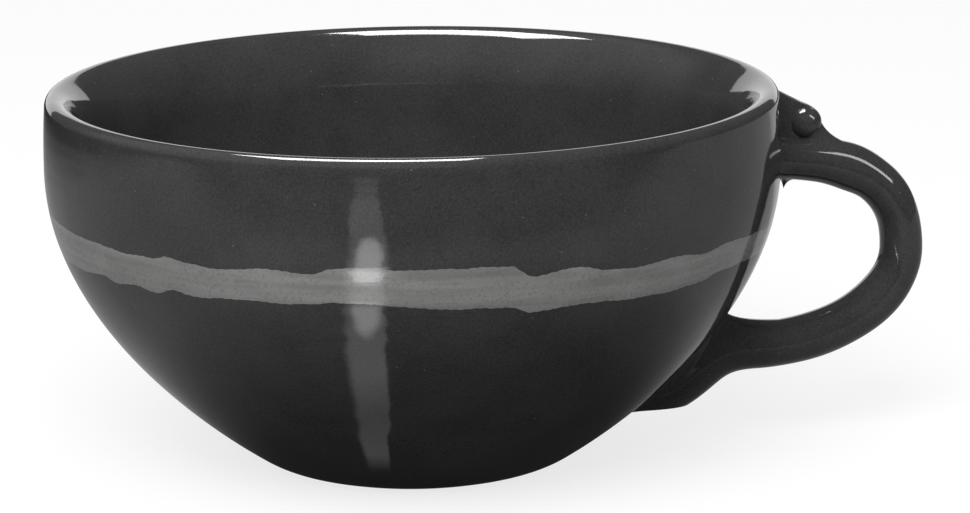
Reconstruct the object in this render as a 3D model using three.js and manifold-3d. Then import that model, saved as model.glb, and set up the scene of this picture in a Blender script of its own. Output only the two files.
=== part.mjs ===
// Espresso cup in dark glazed stoneware. A wide bowl stands on a low flat foot, a pale slip band runs
// round it, and a pulled handle carries a thumb bead. Millimetres, +Z up, the handle along +X, and the
// origin on the table under the bowl's axis.

import * as THREE from "three";
import { mergeVertices } from "three/addons/utils/BufferGeometryUtils.js";
import Module from "manifold-3d";

// Foot
const FOOT_RADIUS = 15; // the flat face on the table
const FOOT_FLARE = 3.2; // how far the foot widens up to the bowl
const FOOT_HEIGHT = 1.4;

// Bowl
const BOWL_RADIUS = 40; // outside, at the widest ring
const BOWL_HEIGHT = 41.1; // from the table to the top of the lip
const BELLY_DROP = 8.1; // from the top of the lip down to the widest ring
const LIP_INSET = 0.25; // how far the lip leans in from the widest ring
const LIP_EDGE = 1.05; // rounding of the lip's outer edge
const LIP_RUN = 1.7; // pull of the lip's broad rounding in from its top
const LIP_FALL = 5.2; // pull of that rounding up from the widest ring
const WALL_THICKNESS = 5; // at the widest ring
const FLOOR_THICKNESS = 3; // above the foot
const FLOOR_RADIUS = 12; // the level middle of the floor
const FLOOR_PULL = 12; // pull of the inside curve as it leaves the floor
const RISE_DEGREES = 34; // slope of the outside where it leaves the foot
const RISE_PULL = 3.7; // pull of the outside curve as it leaves the foot
const BELLY_PULL = 17; // pull of the outside curve below the widest ring
const INNER_BELLY_PULL = 18.8; // pull of the inside curve below the widest ring

// Slip band
const BAND_DROP = 14.2; // from the top of the lip down to the band's middle
const BAND_WIDTH = 3.6;
const BAND_THICKNESS = 0.4;
const BAND_SWAY = 0.8; // how far the ring dips by the handle and rises a quarter turn from it
const BAND_WANDER = 0.35; // how far the brushed edges stray

// Handle
const ROD_THICKNESS = 4.9; // in the handle's own plane
const ROD_WIDTH = 5.4; // across that plane
const HANDLE_DROP = 9.25; // from the top of the lip down to the rod's axis at the upper root
const ROOT_SINK = 1.4; // how deep in the wall the rod's axis begins
const HANDLE_REACH = 14.45; // from the widest ring out to the rod's axis at its outermost
const LOWER_RUN_HEIGHT = 10.6; // from the table up to the rod's axis where it runs level
const UPPER_FULLNESS = 0.7; // 0.55 is a quarter of an ellipse, and more is squarer
const LOWER_FULLNESS = 0.55;
const BEND_RUN = 8.7; // from the wall out to where the level rod bends down
const BEND_PULL = 7.5; // pull of the tail's curve at the bend
const TAIL_HEIGHT = 4.2; // from the table up to the tail's flat cut end
const TAIL_GUIDE_HEIGHT = 9.8; // where on the wall the tail's curve is guided from
const TAIL_GUIDE_REACH = 5.8; // how far off the wall its guide point lies

// Thumb bead
const BEAD_RADIUS = 1.82;
const BEAD_REACH = 3.46; // from the widest ring out to the bead's centre
const BEAD_SINK = 0.35; // how deep the bead is pressed into the rod
const BEAD_TIP_DROP = 3.1; // from the top of the lip down to where the drawn tip meets the wall
const BEAD_TIP_RADIUS = 1;

// Slip seams
const UPPER_SEAM_FLARE = 1; // height of the fillet round the upper root
const UPPER_SEAM_REACH = 2.2; // how far it runs out along the rod
const LOWER_SEAM_FLARE = 2.4; // height of the fillet over the lower root
const LOWER_SEAM_REACH = 8.4; // how far it runs out along the rod
const BEAD_SEAM_SPREAD = 0.3; // how far the ring round the bead's base spreads on the rod
const BEAD_SEAM_HEIGHT = 0.9; // how far it climbs up the bead from the rod
const SEAM_EDGE = 0.2; // thickness of a fillet's thin edge
const SEAM_SINK = 2.8; // how deep in the wall the flare of the upper fillet begins

// Clearance between pieces that are shaped to each other
const JOINT_GAP = 0.3;
const SLIP_GAP = 0.15; // under thin slip

// Fineness of the round shapes
const TURN_SIDES = 72;
const WALL_STEPS = 13;
const UPPER_WALL_STEPS = 2;
const LIP_STEPS = 5;
const INNER_LIP_STEPS = 8;
const ROD_STEPS = 60;
const ROD_SIDES = 20;
const BEAD_SIDES = 24;
const SEAM_SIDES = 28;
const FILLET_STEPS = 5;
const HALVINGS = 40; // steps of a search along the wall
const MERGE_TOLERANCE = 1e-5;

const wasm = await Module();
wasm.setup();

const at = (radius, height) => new THREE.Vector2(radius, height);
const onHandlePlane = ({ x, y }) => new THREE.Vector3(x, 0, y);

// Solids and meshes

// A closed geometry with its shared vertices merged and its collapsed triangles left out
function closedGeometry(geometry) {
  const bare = geometry.clone();
  bare.deleteAttribute("normal");
  bare.deleteAttribute("uv");
  const merged = mergeVertices(bare, MERGE_TOLERANCE);
  const corners = merged.index.array;
  const kept = [];
  for (let i = 0; i < corners.length; i += 3) {
    const [a, b, c] = [corners[i], corners[i + 1], corners[i + 2]];
    if (a !== b && b !== c && c !== a) kept.push(a, b, c);
  }
  merged.setIndex(kept);
  return merged;
}

function solidOf(geometry) {
  const closed = closedGeometry(geometry);
  const mesh = new wasm.Mesh({
    numProp: 3,
    vertProperties: Float32Array.from(closed.attributes.position.array),
    triVerts: Uint32Array.from(closed.index.array),
  });
  return new wasm.Manifold(mesh);
}

function geometryOf(solid) {
  const { vertProperties, triVerts } = solid.getMesh();
  const geometry = new THREE.BufferGeometry();
  geometry.setAttribute("position", new THREE.BufferAttribute(Float32Array.from(vertProperties), 3));
  geometry.setIndex(Array.from(triVerts));
  return geometry;
}

function cut(geometry, ...cutters) {
  const left = cutters.reduce((solid, cutter) => solid.subtract(solidOf(cutter)), solidOf(geometry));
  return geometryOf(left);
}

// A profile of (radius, height) points turned about the upright axis
function turned(profile, sides = TURN_SIDES) {
  return new THREE.LatheGeometry(profile, sides).rotateX(Math.PI / 2);
}

// The bowl's curves, as (radius, height)

const footTopRadius = FOOT_RADIUS + FOOT_FLARE;
const bellyHeight = BOWL_HEIGHT - BELLY_DROP;
const lipHeight = BOWL_HEIGHT - LIP_EDGE;
const lipOuterRadius = BOWL_RADIUS - LIP_INSET;
const lipTopRadius = lipOuterRadius - LIP_EDGE;
const floorHeight = FOOT_HEIGHT + FLOOR_THICKNESS;
const innerBellyRadius = BOWL_RADIUS - WALL_THICKNESS;
const rise = THREE.MathUtils.degToRad(RISE_DEGREES);

const lowerWall = new THREE.CubicBezierCurve(
  at(footTopRadius, FOOT_HEIGHT),
  at(footTopRadius + RISE_PULL * Math.cos(rise), FOOT_HEIGHT + RISE_PULL * Math.sin(rise)),
  at(BOWL_RADIUS, bellyHeight - BELLY_PULL),
  at(BOWL_RADIUS, bellyHeight),
);

const upperWall = new THREE.QuadraticBezierCurve(
  at(BOWL_RADIUS, bellyHeight),
  at(BOWL_RADIUS, (bellyHeight + lipHeight) / 2),
  at(lipOuterRadius, lipHeight),
);

const innerLip = new THREE.CubicBezierCurve(
  at(lipTopRadius, BOWL_HEIGHT),
  at(lipTopRadius - LIP_RUN, BOWL_HEIGHT),
  at(innerBellyRadius, bellyHeight + LIP_FALL),
  at(innerBellyRadius, bellyHeight),
);

const innerWall = new THREE.CubicBezierCurve(
  at(innerBellyRadius, bellyHeight),
  at(innerBellyRadius, bellyHeight - INNER_BELLY_PULL),
  at(FLOOR_RADIUS + FLOOR_PULL, floorHeight),
  at(FLOOR_RADIUS, floorHeight),
);

// The lip's outer edge, from the wall up to the lip's top
function lipArc(round) {
  const points = [];
  for (let i = 1; i <= LIP_STEPS; i++) {
    const angle = (Math.PI / 2) * (i / LIP_STEPS);
    points.push(at(lipTopRadius + round * Math.cos(angle), lipHeight + round * Math.sin(angle)));
  }
  return points;
}

// A point of a curve moved off it, to the right of the way that the curve runs
function offsetPoint(curve, t, offset) {
  const along = curve.getTangent(t);
  return curve.getPoint(t).add(at(along.y, -along.x).multiplyScalar(offset));
}

function offsetPoints(curve, steps, offset) {
  const points = [];
  for (let i = 0; i <= steps; i++) points.push(offsetPoint(curve, i / steps, offset));
  return points;
}

// The point at a height on the bowl's outside, moved off the wall
function wallPoint(height, offset = 0) {
  const curve = height < bellyHeight ? lowerWall : upperWall;
  let low = 0;
  let high = 1;
  for (let i = 0; i < HALVINGS; i++) {
    const middle = (low + high) / 2;
    if (curve.getPoint(middle).y < height) low = middle;
    else high = middle;
  }
  return offsetPoint(curve, low, offset);
}

// The bowl's outside as a solid filled to the brim, grown by a gap
function bowlEnvelope(gap) {
  return turned([
    at(0, FOOT_HEIGHT - gap),
    ...offsetPoints(lowerWall, WALL_STEPS, gap),
    ...offsetPoints(upperWall, UPPER_WALL_STEPS, gap).slice(1),
    ...lipArc(LIP_EDGE + gap),
    at(0, BOWL_HEIGHT + gap),
  ]);
}

// Bowl, foot and band

function bowlGeometry() {
  return turned([
    at(0, FOOT_HEIGHT),
    ...lowerWall.getPoints(WALL_STEPS),
    ...upperWall.getPoints(UPPER_WALL_STEPS).slice(1),
    ...lipArc(LIP_EDGE),
    ...innerLip.getPoints(INNER_LIP_STEPS).slice(1),
    ...innerWall.getPoints(WALL_STEPS).slice(1),
    at(0, floorHeight),
  ]);
}

function footGeometry() {
  const side = new THREE.QuadraticBezierCurve(
    at(FOOT_RADIUS, 0),
    at(FOOT_RADIUS + FOOT_FLARE / 2, 0),
    at(footTopRadius, FOOT_HEIGHT),
  );
  return turned([at(0, 0), ...side.getPoints(FILLET_STEPS), at(0, FOOT_HEIGHT)]);
}

// Height of one of the band's two brushed edges, the upper with side 1 and the lower with side -1
const bandHeight = BOWL_HEIGHT - BAND_DROP;

function bandEdge(angle, side, grow) {
  const sway = -BAND_SWAY * Math.cos(2 * angle);
  const wander = BAND_WANDER * (Math.sin(5 * angle + side) + Math.sin(9 * angle + 3 * side)) / 2;
  return bandHeight + side * (BAND_WIDTH / 2 + grow) + sway + wander;
}

// A flat ring first, whose profile says how far across the band (height) and off the wall (radius) a
// point lies, and then each of its points set on the wall at its own angle. It can be grown by a gap.
function bandGeometry(grow) {
  const across = [-1, -0.6, 0, 0.6, 1];
  const thickness = (side) => BAND_THICKNESS * (1 - side * side / 2) + grow;
  const outside = across.map((side) => at(1 + SLIP_GAP + thickness(side), side));
  const inside = across.map((side) => at(1 + SLIP_GAP - grow, side)).reverse();
  const ring = turned([...outside, ...inside, outside[0]]);
  const position = ring.attributes.position;
  for (let i = 0; i < position.count; i++) {
    const [x, y, side] = [position.getX(i), position.getY(i), position.getZ(i)];
    const angle = Math.atan2(y, x);
    const share = (side + 1) / 2;
    const height = THREE.MathUtils.lerp(bandEdge(angle, -1, grow), bandEdge(angle, 1, grow), share);
    const set = wallPoint(height, Math.hypot(x, y) - 1);
    position.setXYZ(i, set.x * Math.cos(angle), set.x * Math.sin(angle), set.y);
  }
  return ring;
}

// What trims each piece that joins the wall
const wallCutters = () => [bowlEnvelope(JOINT_GAP), bandGeometry(JOINT_GAP)];

// Handle

const upperRunHeight = BOWL_HEIGHT - HANDLE_DROP;
const reachHeight = (upperRunHeight + LOWER_RUN_HEIGHT) / 2;
const reachRadius = BOWL_RADIUS + HANDLE_REACH;
const upperRoot = at(wallPoint(upperRunHeight).x - ROOT_SINK, upperRunHeight);
const bend = at(wallPoint(LOWER_RUN_HEIGHT).x + BEND_RUN, LOWER_RUN_HEIGHT);
const tailEnd = wallPoint(TAIL_HEIGHT);

// A quarter turn from a level run to the upright at the outermost point
function quarterTurn(level, fullness) {
  const outermost = at(reachRadius, reachHeight);
  const levelPull = at((reachRadius - level.x) * fullness, 0);
  const uprightPull = at(0, (level.y - reachHeight) * fullness);
  return [level, level.clone().add(levelPull), outermost.clone().add(uprightPull), outermost];
}

function handlePath() {
  const stretches = [
    quarterTurn(upperRoot, UPPER_FULLNESS),
    quarterTurn(bend, LOWER_FULLNESS).reverse(),
    [bend, at(bend.x - BEND_PULL, bend.y), wallPoint(TAIL_GUIDE_HEIGHT, TAIL_GUIDE_REACH), tailEnd],
  ];
  const path = new THREE.CurvePath();
  for (const points of stretches) path.add(new THREE.CubicBezierCurve3(...points.map(onHandlePlane)));
  return path;
}

// The bare rod, grown by a gap
function rodGeometry(gap) {
  const section = new THREE.Shape();
  section.absellipse(0, 0, ROD_WIDTH / 2 + gap, ROD_THICKNESS / 2 + gap, 0, 2 * Math.PI);
  return new THREE.ExtrudeGeometry(section, {
    steps: ROD_STEPS,
    curveSegments: ROD_SIDES / 2,
    bevelEnabled: false,
    extrudePath: handlePath(),
  });
}

// All that lies below a height, under the whole cup
function slabBelow(height) {
  const side = 4 * (BOWL_RADIUS + HANDLE_REACH);
  return new THREE.BoxGeometry(side, side, side).translate(0, 0, height - side / 2);
}

function handleGeometry() {
  return cut(rodGeometry(0), ...wallCutters(), slabBelow(TAIL_HEIGHT));
}

// Thumb bead

const beadMiddle = at(
  BOWL_RADIUS + BEAD_REACH,
  upperRunHeight + ROD_THICKNESS / 2 + BEAD_RADIUS - BEAD_SINK,
);
const beadTip = wallPoint(BOWL_HEIGHT - BEAD_TIP_DROP);

// A ball with a cone drawn from it to the tip, grown by a gap
function beadDrop(gap) {
  const way = beadTip.clone().sub(beadMiddle);
  const length = way.length();
  const taper = Math.asin((BEAD_RADIUS - BEAD_TIP_RADIUS) / length);
  const radius = BEAD_RADIUS + gap;
  const tipRadius = BEAD_TIP_RADIUS + gap;
  const profile = [];
  for (let i = 0; i <= BEAD_SIDES / 2; i++) {
    const angle = THREE.MathUtils.lerp(-Math.PI / 2, taper, (2 * i) / BEAD_SIDES);
    profile.push(at(radius * Math.cos(angle), radius * Math.sin(angle)));
  }
  profile.push(at(tipRadius * Math.cos(taper), length + tipRadius * Math.sin(taper)));
  profile.push(at(0, length + tipRadius * Math.sin(taper)));
  profile[0].x = 0;
  const upright = new THREE.Vector3(0, 0, 1);
  const lean = new THREE.Quaternion().setFromUnitVectors(upright, onHandlePlane(way).normalize());
  const { x, y, z } = onHandlePlane(beadMiddle);
  return turned(profile, BEAD_SIDES).applyQuaternion(lean).translate(x, y, z);
}

function beadGeometry() {
  return cut(beadDrop(0), ...wallCutters(), rodGeometry(JOINT_GAP));
}

// Slip seams

// A hollow-sided flare along its own axis, wide at its start and narrow at its end
function flareProfile(wide, narrow, length) {
  const side = new THREE.QuadraticBezierCurve(at(wide, 0), at(narrow, length / 3), at(narrow, length));
  return [at(0, 0), ...side.getPoints(FILLET_STEPS), at(0, length)];
}

// A flare round the rod's level axis, oval as the rod is, from within the wall outwards
function rootFlare(root, flare, reach) {
  const narrow = ROD_THICKNESS / 2 + JOINT_GAP + SEAM_EDGE;
  return turned(flareProfile(narrow + flare, narrow, reach + SEAM_SINK), SEAM_SIDES)
    .rotateY(Math.PI / 2)
    .scale(1, ROD_WIDTH / ROD_THICKNESS, 1)
    .translate(root.x - SEAM_SINK, 0, root.y);
}

function upperFlare(gap) {
  return rootFlare(wallPoint(upperRunHeight), UPPER_SEAM_FLARE + gap, UPPER_SEAM_REACH + gap);
}

function upperSeamGeometry() {
  return cut(upperFlare(0), ...wallCutters(), rodGeometry(JOINT_GAP), beadDrop(JOINT_GAP));
}

// Only the upper part of a flare, because the rod's tail fills the corner below
function lowerSeamGeometry() {
  const flare = rootFlare(wallPoint(LOWER_RUN_HEIGHT), LOWER_SEAM_FLARE, LOWER_SEAM_REACH);
  const below = slabBelow(LOWER_RUN_HEIGHT + ROD_THICKNESS / 4);
  return cut(flare, below, ...wallCutters(), rodGeometry(JOINT_GAP));
}

function beadSeamGeometry() {
  const rodTop = upperRunHeight + ROD_THICKNESS / 2;
  const climb = BEAD_SEAM_HEIGHT + ROD_THICKNESS / 2;
  const narrow = BEAD_RADIUS + SLIP_GAP + SEAM_EDGE;
  const flare = turned(flareProfile(narrow + BEAD_SEAM_SPREAD, narrow, climb), SEAM_SIDES);
  flare.translate(beadMiddle.x, 0, rodTop + BEAD_SEAM_HEIGHT - climb);
  return cut(flare, rodGeometry(SLIP_GAP), beadDrop(SLIP_GAP), upperFlare(SLIP_GAP));
}

// Finishes

const charcoalGlaze = () => new THREE.MeshStandardMaterial({ color: 0x343434, roughness: 0.16 });
const paleSlip = () => new THREE.MeshStandardMaterial({ color: 0x6c6c6b, roughness: 0.2 });
const bareClay = () => new THREE.MeshStandardMaterial({ color: 0x86807a, roughness: 0.85 });

const cup = new THREE.Group();

function addPiece(name, geometry, material) {
  const closed = closedGeometry(geometry);
  closed.computeVertexNormals();
  const mesh = new THREE.Mesh(closed, material);
  mesh.name = name;
  cup.add(mesh);
}

addPiece("bowl", bowlGeometry(), charcoalGlaze());
addPiece("foot", footGeometry(), bareClay());
addPiece("slip_band", bandGeometry(0), paleSlip());
addPiece("handle", handleGeometry(), charcoalGlaze());
addPiece("thumb_bead", beadGeometry(), charcoalGlaze());
addPiece("upper_slip_seam", upperSeamGeometry(), charcoalGlaze());
addPiece("lower_slip_seam", lowerSeamGeometry(), charcoalGlaze());
addPiece("bead_slip_seam", beadSeamGeometry(), charcoalGlaze());

export default cup;
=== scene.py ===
"""Espresso cup in glossy charcoal stoneware: a wide bowl with a brushed pale band, a pulled handle and a
thumb bead, on a pale floor in soft studio light. Metres, +Z up, with the handle along +X."""

from bisect import bisect_left
from math import atan2, cos, exp, hypot, pi, radians, sin, sqrt, tau

import bmesh
import bpy
from bpy.props import FloatProperty, FloatVectorProperty, PointerProperty
from bpy.types import Operator, Panel, PropertyGroup
from mathutils import Matrix, Vector, noise
from mathutils.kdtree import KDTree


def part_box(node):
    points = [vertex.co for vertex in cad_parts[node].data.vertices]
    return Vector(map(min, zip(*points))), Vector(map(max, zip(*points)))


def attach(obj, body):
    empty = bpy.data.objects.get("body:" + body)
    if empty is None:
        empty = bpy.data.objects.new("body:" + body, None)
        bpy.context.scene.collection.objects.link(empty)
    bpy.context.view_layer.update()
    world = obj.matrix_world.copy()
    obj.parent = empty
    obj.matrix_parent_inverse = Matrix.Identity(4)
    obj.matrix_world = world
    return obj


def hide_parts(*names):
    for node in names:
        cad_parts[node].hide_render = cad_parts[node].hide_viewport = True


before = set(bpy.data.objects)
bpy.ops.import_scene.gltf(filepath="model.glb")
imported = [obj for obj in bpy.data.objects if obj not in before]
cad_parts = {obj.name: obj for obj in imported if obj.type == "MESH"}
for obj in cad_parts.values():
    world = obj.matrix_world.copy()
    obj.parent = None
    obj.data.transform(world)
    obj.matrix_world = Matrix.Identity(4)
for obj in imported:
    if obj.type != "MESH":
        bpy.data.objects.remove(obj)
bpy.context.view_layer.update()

bl_info = {
    "name": "Stoneware Espresso Cup",
    "version": (1, 0, 0),
    "blender": (4, 5, 0),
    "location": "3D View > Sidebar > Cup",
    "description": "Models and glazes a small stoneware cup and sets it in a photo studio",
    "category": "Add Mesh",
}

MM = 0.001
BODY = "root"

# What the solids give
FOOT_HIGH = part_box("foot")[1]
BOWL_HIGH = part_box("bowl")[1]
HANDLE_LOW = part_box("handle")[0]

# Fineness of the meshes
TURN_STEPS = 240
WALL_STEPS = 56
UPPER_WALL_STEPS = 10
LIP_STEPS = 12
INNER_LIP_STEPS = 28
WALL_SAMPLES = 600
FOOT_RINGS = 8
FOOT_EDGE_STEPS = 6
FOOT_SIDE_STEPS = 10
BAND_STEPS = 900
BAND_ROWS = 26
ROD_STEPS = 66
ROD_SIDES = 56
ROD_END_STEPS = 4
BEAD_SIDES = 64
BEAD_GRAIN = 0.06 * MM
BEAD_SMOOTHING = 9
CREST_STEPS = 24
SEAM_STEPS = 256
SEAM_ROWS = 50
DOME_STEPS = 24
DOME_SIDES = 72
CIRCLE_SIDES = 96
WELD = 0.002 * MM
SHARP_ANGLE = radians(48)

# Share of the way round a fillet's section that lies on its open face
FACE_SHARE = 0.8

# The outside: its slope as it leaves the foot, the pulls of its curve at the foot and at the widest ring, and
# how far from upright it runs into the lip's edge
FOOT_SLOPE = radians(34)
FOOT_PULL = 3.7 * MM
BELLY_PULL = 17 * MM
LIP_LEAN = radians(4.3)

# The inside: how far under the widest ring the lip's curve ends, and the pulls of the curves from there
INSIDE_DROP = 0.8 * MM
PULL_TO_LIP = 5.8 * MM
PULL_TO_FLOOR = 18.2 * MM

# How deep the band's edges and its back lie in the wall
BAND_SINK = 0.012 * MM

# The handle: fullness of its two bends, how far off the wall the lower run ends, the pulls of the curve from
# there to the tail (the second as a height and a distance off the wall), how far the rod goes on before the
# tail is cut, and the rounding of the cut
UPPER_FULLNESS = 0.7
LOWER_FULLNESS = 0.55
RUN_END = 8.7 * MM
RUN_PULL = 7.5 * MM
TAIL_PULL = (9.8 * MM, 5.8 * MM)
ROD_SPARE = 3 * MM
CUT_EDGE = 0.3 * MM

# Share by which the lower root's clay spreads at the wall, and how far off the wall that begins
SMEAR = 0.42
SMEAR_REACH = 2.2 * MM

# How deep in the wall the joined clay ends, and the share of the rod's section where thin slip ends
HANDLE_PRESS = 0.2 * MM
BEAD_PRESS = 0.15 * MM
SEAM_PRESS = 0.12 * MM
SLIP_INSET = 0.985

# The crest of the web from the lip to the bead, in millimetres from the bead's middle
WEB_CREST = ((-2.8, 3.6), (-1.7, 2.75), (-0.6, 2.35), (0.3, 2.0), (1.0, 1.5))

# The brushed band's outline round the bowl: degrees from the handle, then the lower and the upper edge in
# millimetres above the table. The stroke begins and ends near -80 degrees, where its ends overlap.
BRUSHED_OUTLINE = [
    (-170, 24.6, 29.4), (-165, 24.8, 29.4), (-160, 24.9, 29.3), (-152, 25.6, 29.3), (-149, 25.1, 29.2),
    (-144, 25.5, 29.1), (-139, 25.1, 29.2), (-135, 25.8, 29.8), (-131, 25.6, 29.4), (-127, 25.8, 29.2),
    (-118, 25.8, 29.7), (-111, 26.0, 29.5), (-108, 26.3, 30.1), (-104, 26.2, 30.3), (-98, 25.9, 30.0),
    (-88, 25.5, 30.1), (-82, 25.4, 30.1), (-78.5, 24.7, 28.8), (-72, 25.0, 29.2), (-66, 24.9, 28.5),
    (-61, 24.6, 28.3), (-54, 24.5, 28.6), (-46, 24.7, 28.1), (-41, 25.2, 28.4), (-30, 24.9, 28.0),
    (-20, 24.5, 27.5), (0, 24.3, 27.3), (18, 24.4, 27.7), (40, 24.9, 28.2), (58, 24.7, 28.9),
    (75, 25.4, 29.0), (90, 25.6, 29.5), (104, 25.4, 29.2), (122, 25.8, 29.4), (140, 25.2, 28.8),
    (155, 25.3, 29.1), (172, 24.7, 28.8), (184, 24.6, 29.3),
]

# The light card on the floor: degrees from the handle to its middle and from side to side, how far from the
# axis it begins, and its length
CARD_TURN = -107.8
CARD_SPREAD = 12
CARD_START = 18 * MM
CARD_LENGTH = 560 * MM

# Radius of the dark tent round the cup, and the share of it for the paler cloth that hangs inside
TENT_RADIUS = 1.2
HIGH_CLOTH_SHARE = 0.98

# Half the floor's side, and the heights of the floor and of the cloth and the card that lie on it
FLOOR_HALF = 3.0
FLOOR_HEIGHT = -0.05 * MM
CLOTH_HEIGHT = 0.02 * MM
CARD_HEIGHT = 0.05 * MM

# Height on the cup's axis that the softboxes face
LIT_HEIGHT = 30 * MM

# The softboxes, placed as the camera sees them, in metres to the right, away from it and up: name, shape,
# place, the way of the long side, width and height, radiance, whether it lights surfaces or only shows in
# their gloss, and the pieces it is linked to, where it isn't all of them
SOFTBOXES = [
    ("front_key", "RECTANGLE", (-0.12, -0.5, 0.55), (1, 0, 0), (0.45, 0.45), 8.0, True, ()),
    ("overhead_panel", "RECTANGLE", (-0.04, 0.044, 0.34), (1, 0, 0), (0.178, 0.139), 24.0, False,
     ("thrown_bowl", "brushed_band", "thumb_bead_ball")),
    ("backdrop_panel", "ELLIPSE", (-0.03, 1.0, 0.0), (1, 0, 0), (1.2, 0.86), 0.85, False, ()),
    ("right_strip", "RECTANGLE", (0.41, -0.23, 0.37), (0.7, 0.15, -0.7), (0.36, 0.12), 9.0, False,
     ("pulled_handle", "thumb_bead_ball")),
]

# Thickness of the pulled rod, in millimetres, at shares of its length from the upper root to the tail
PULLED_ROD = [
    (0.0, 4.7), (0.1, 5.0), (0.16, 5.25), (0.21, 4.95), (0.29, 4.7), (0.38, 4.75), (0.47, 5.05),
    (0.6, 5.2), (0.72, 5.35), (1.0, 5.4),
]


# Settings

def length(name, description, default):
    return FloatProperty(name=name, description=description, default=default, unit="LENGTH", precision=5)


def share(name, description, default):
    return FloatProperty(name=name, description=description, default=default, min=0, max=2, precision=3)


def colour(name, description, default):
    return FloatVectorProperty(name=name, description=description, default=default, subtype="COLOR",
                               size=3, min=0, max=1)


def tilt(name, description, degrees):
    return FloatProperty(name=name, description=description, default=radians(degrees), subtype="ANGLE")


class CupSizes(PropertyGroup):
    """Sizes of the cup's pieces"""

    foot_radius: length("Foot radius", "Of the flat face on the table", 15 * MM)
    foot_height: length("Foot height", "From the table to the bowl", FOOT_HIGH.z)
    foot_top_radius: length("Foot top radius", "Where the foot meets the bowl", FOOT_HIGH.x)
    foot_edge: length("Foot edge", "Rounding of the foot's lower edge", 0.35 * MM)
    bowl_radius: length("Bowl radius", "Outside, at the widest ring", BOWL_HIGH.x)
    bowl_height: length("Bowl height", "From the table to the top of the lip", BOWL_HIGH.z)
    belly_drop: length("Belly drop", "From the top of the lip down to the widest ring", 8.1 * MM)
    lip_inset: length("Lip inset", "How far the lip leans in from the widest ring", 0.25 * MM)
    lip_edge: length("Lip edge", "Rounding of the lip's outer edge", 1.05 * MM)
    lip_run: length("Lip run", "Pull of the lip's broad rounding towards the inside", 1.7 * MM)
    wall: length("Wall", "Thickness at the widest ring", 5 * MM)
    floor_thickness: length("Floor thickness", "Of the bowl's floor above the foot", 3 * MM)
    floor_spread: length("Floor spread", "Pull of the dished floor out towards the wall", 28 * MM)
    band_relief: length("Band relief", "How far the slip stands off the wall", 0.012 * MM)
    rod_width: length("Rod width", "Across the handle's plane", 5.4 * MM)
    root_sink: length("Root sink", "How deep in the wall the rod begins", 1.4 * MM)
    handle_drop: length("Handle drop", "From the top of the lip down to the rod's axis", 9.25 * MM)
    handle_reach: length("Handle reach", "From the widest ring out to the rod's axis", 14.45 * MM)
    run_height: length("Lower run height", "From the table up to the level lower run", 10.6 * MM)
    tail_height: length("Tail height", "From the table up to the tail's cut end", HANDLE_LOW.z)
    bead_radius: length("Bead radius", "Of the thumb bead", 1.82 * MM)
    bead_reach: length("Bead reach", "From the widest ring out to the bead's middle", 3.46 * MM)
    bead_sink: length("Bead sink", "How deep the bead is pressed into the rod", 0.2 * MM)
    web: length("Web", "Thickness of the web between the bead and the lip", 1.35 * MM)
    upper_flare: length("Upper seam flare", "Height of the fillet over the upper root", 1.5 * MM)
    upper_reach: length("Upper seam reach", "How far it runs out along the rod", 2.4 * MM)
    drip: length("Drip", "How far the glaze hangs under the upper root", 1.15 * MM)
    drip_reach: length("Drip reach", "From the wall out to the drip's tip", 1.35 * MM)
    lower_flare: length("Lower seam flare", "Height of the fillet over the lower root", 4.0 * MM)
    bead_flare: length("Bead seam flare", "How far the ring round the bead's base spreads", 2.7 * MM)


class CupFinishes(PropertyGroup):
    """Colours and gloss of the cup's surfaces"""

    glaze: colour("Charcoal glaze", "The dark glaze", (0.04, 0.04, 0.04))
    slip: colour("Pale slip", "The brushed band", (0.228, 0.228, 0.224))
    clay: colour("Bare clay", "The unglazed underside", (0.24, 0.22, 0.2))
    speck: colour("Specks", "Pale grains that melt through the glaze", (0.2, 0.2, 0.195))
    gloss: share("Gloss", "Specular level of the glaze", 0.5)
    roughness: share("Roughness", "Of the glaze where it is smoothest", 0.04)


class StudioSettings(PropertyGroup):
    """Camera, lamps and floor"""

    lens: FloatProperty(name="Lens", description="Focal length in millimetres", default=144.1)
    distance: length("Distance", "From the camera to the point it turns about", 425.96 * MM)
    turn_height: length("Turn height", "Of that point on the cup's axis", 20.556 * MM)
    azimuth: tilt("Azimuth", "Of the camera, from straight in front", -6)
    elevation: tilt("Elevation", "Of the camera over the table", 13.2825)
    roll: tilt("Roll", "Tilt of the camera about its own axis", -0.5695)
    aim_right: length("Aim to the right", "From the cup's axis to the picture's middle", 7.731 * MM)
    aim_height: length("Aim height", "Of the picture's middle on the cup's axis", 22.02 * MM)
    floor: colour("Floor", "Paint of the pale floor, which takes the shadow", (0.24, 0.24, 0.24))
    floor_white: share("Floor white", "The floor's own white, which shows but gives no light", 0.78)
    ambient: share("Ambient", "Light from all round", 0.5)
    tent: share("Tent", "How light the cloth round the cup is in its gloss", 0.1)
    high_cloth: share("High cloth", "How light the cloth over the horizon is in the bowl's gloss", 0.32)
    floor_flag: share("Floor flag", "How light the cloth on the floor is in the cup's gloss", 0.34)


SETTINGS = {"cup_sizes": CupSizes, "cup_finishes": CupFinishes, "cup_studio": StudioSettings}


# Curves

def bezier(points, t):
    """The point at t on a Bezier curve of any degree."""
    while len(points) > 1:
        points = [a.lerp(b, t) for a, b in zip(points, points[1:])]
    return points[0]


def bezier_points(points, steps):
    return [bezier(points, i / steps) for i in range(steps + 1)]


def arc_points(middle, radius, start, end, steps):
    angles = [start + (end - start) * i / steps for i in range(steps + 1)]
    return [middle + radius * Vector((cos(a), sin(a))) for a in angles]


def eased(t):
    """0 up to 0, 1 from 1 on, and smooth between them."""
    t = min(max(t, 0), 1)
    return t * t * (3 - 2 * t)


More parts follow.
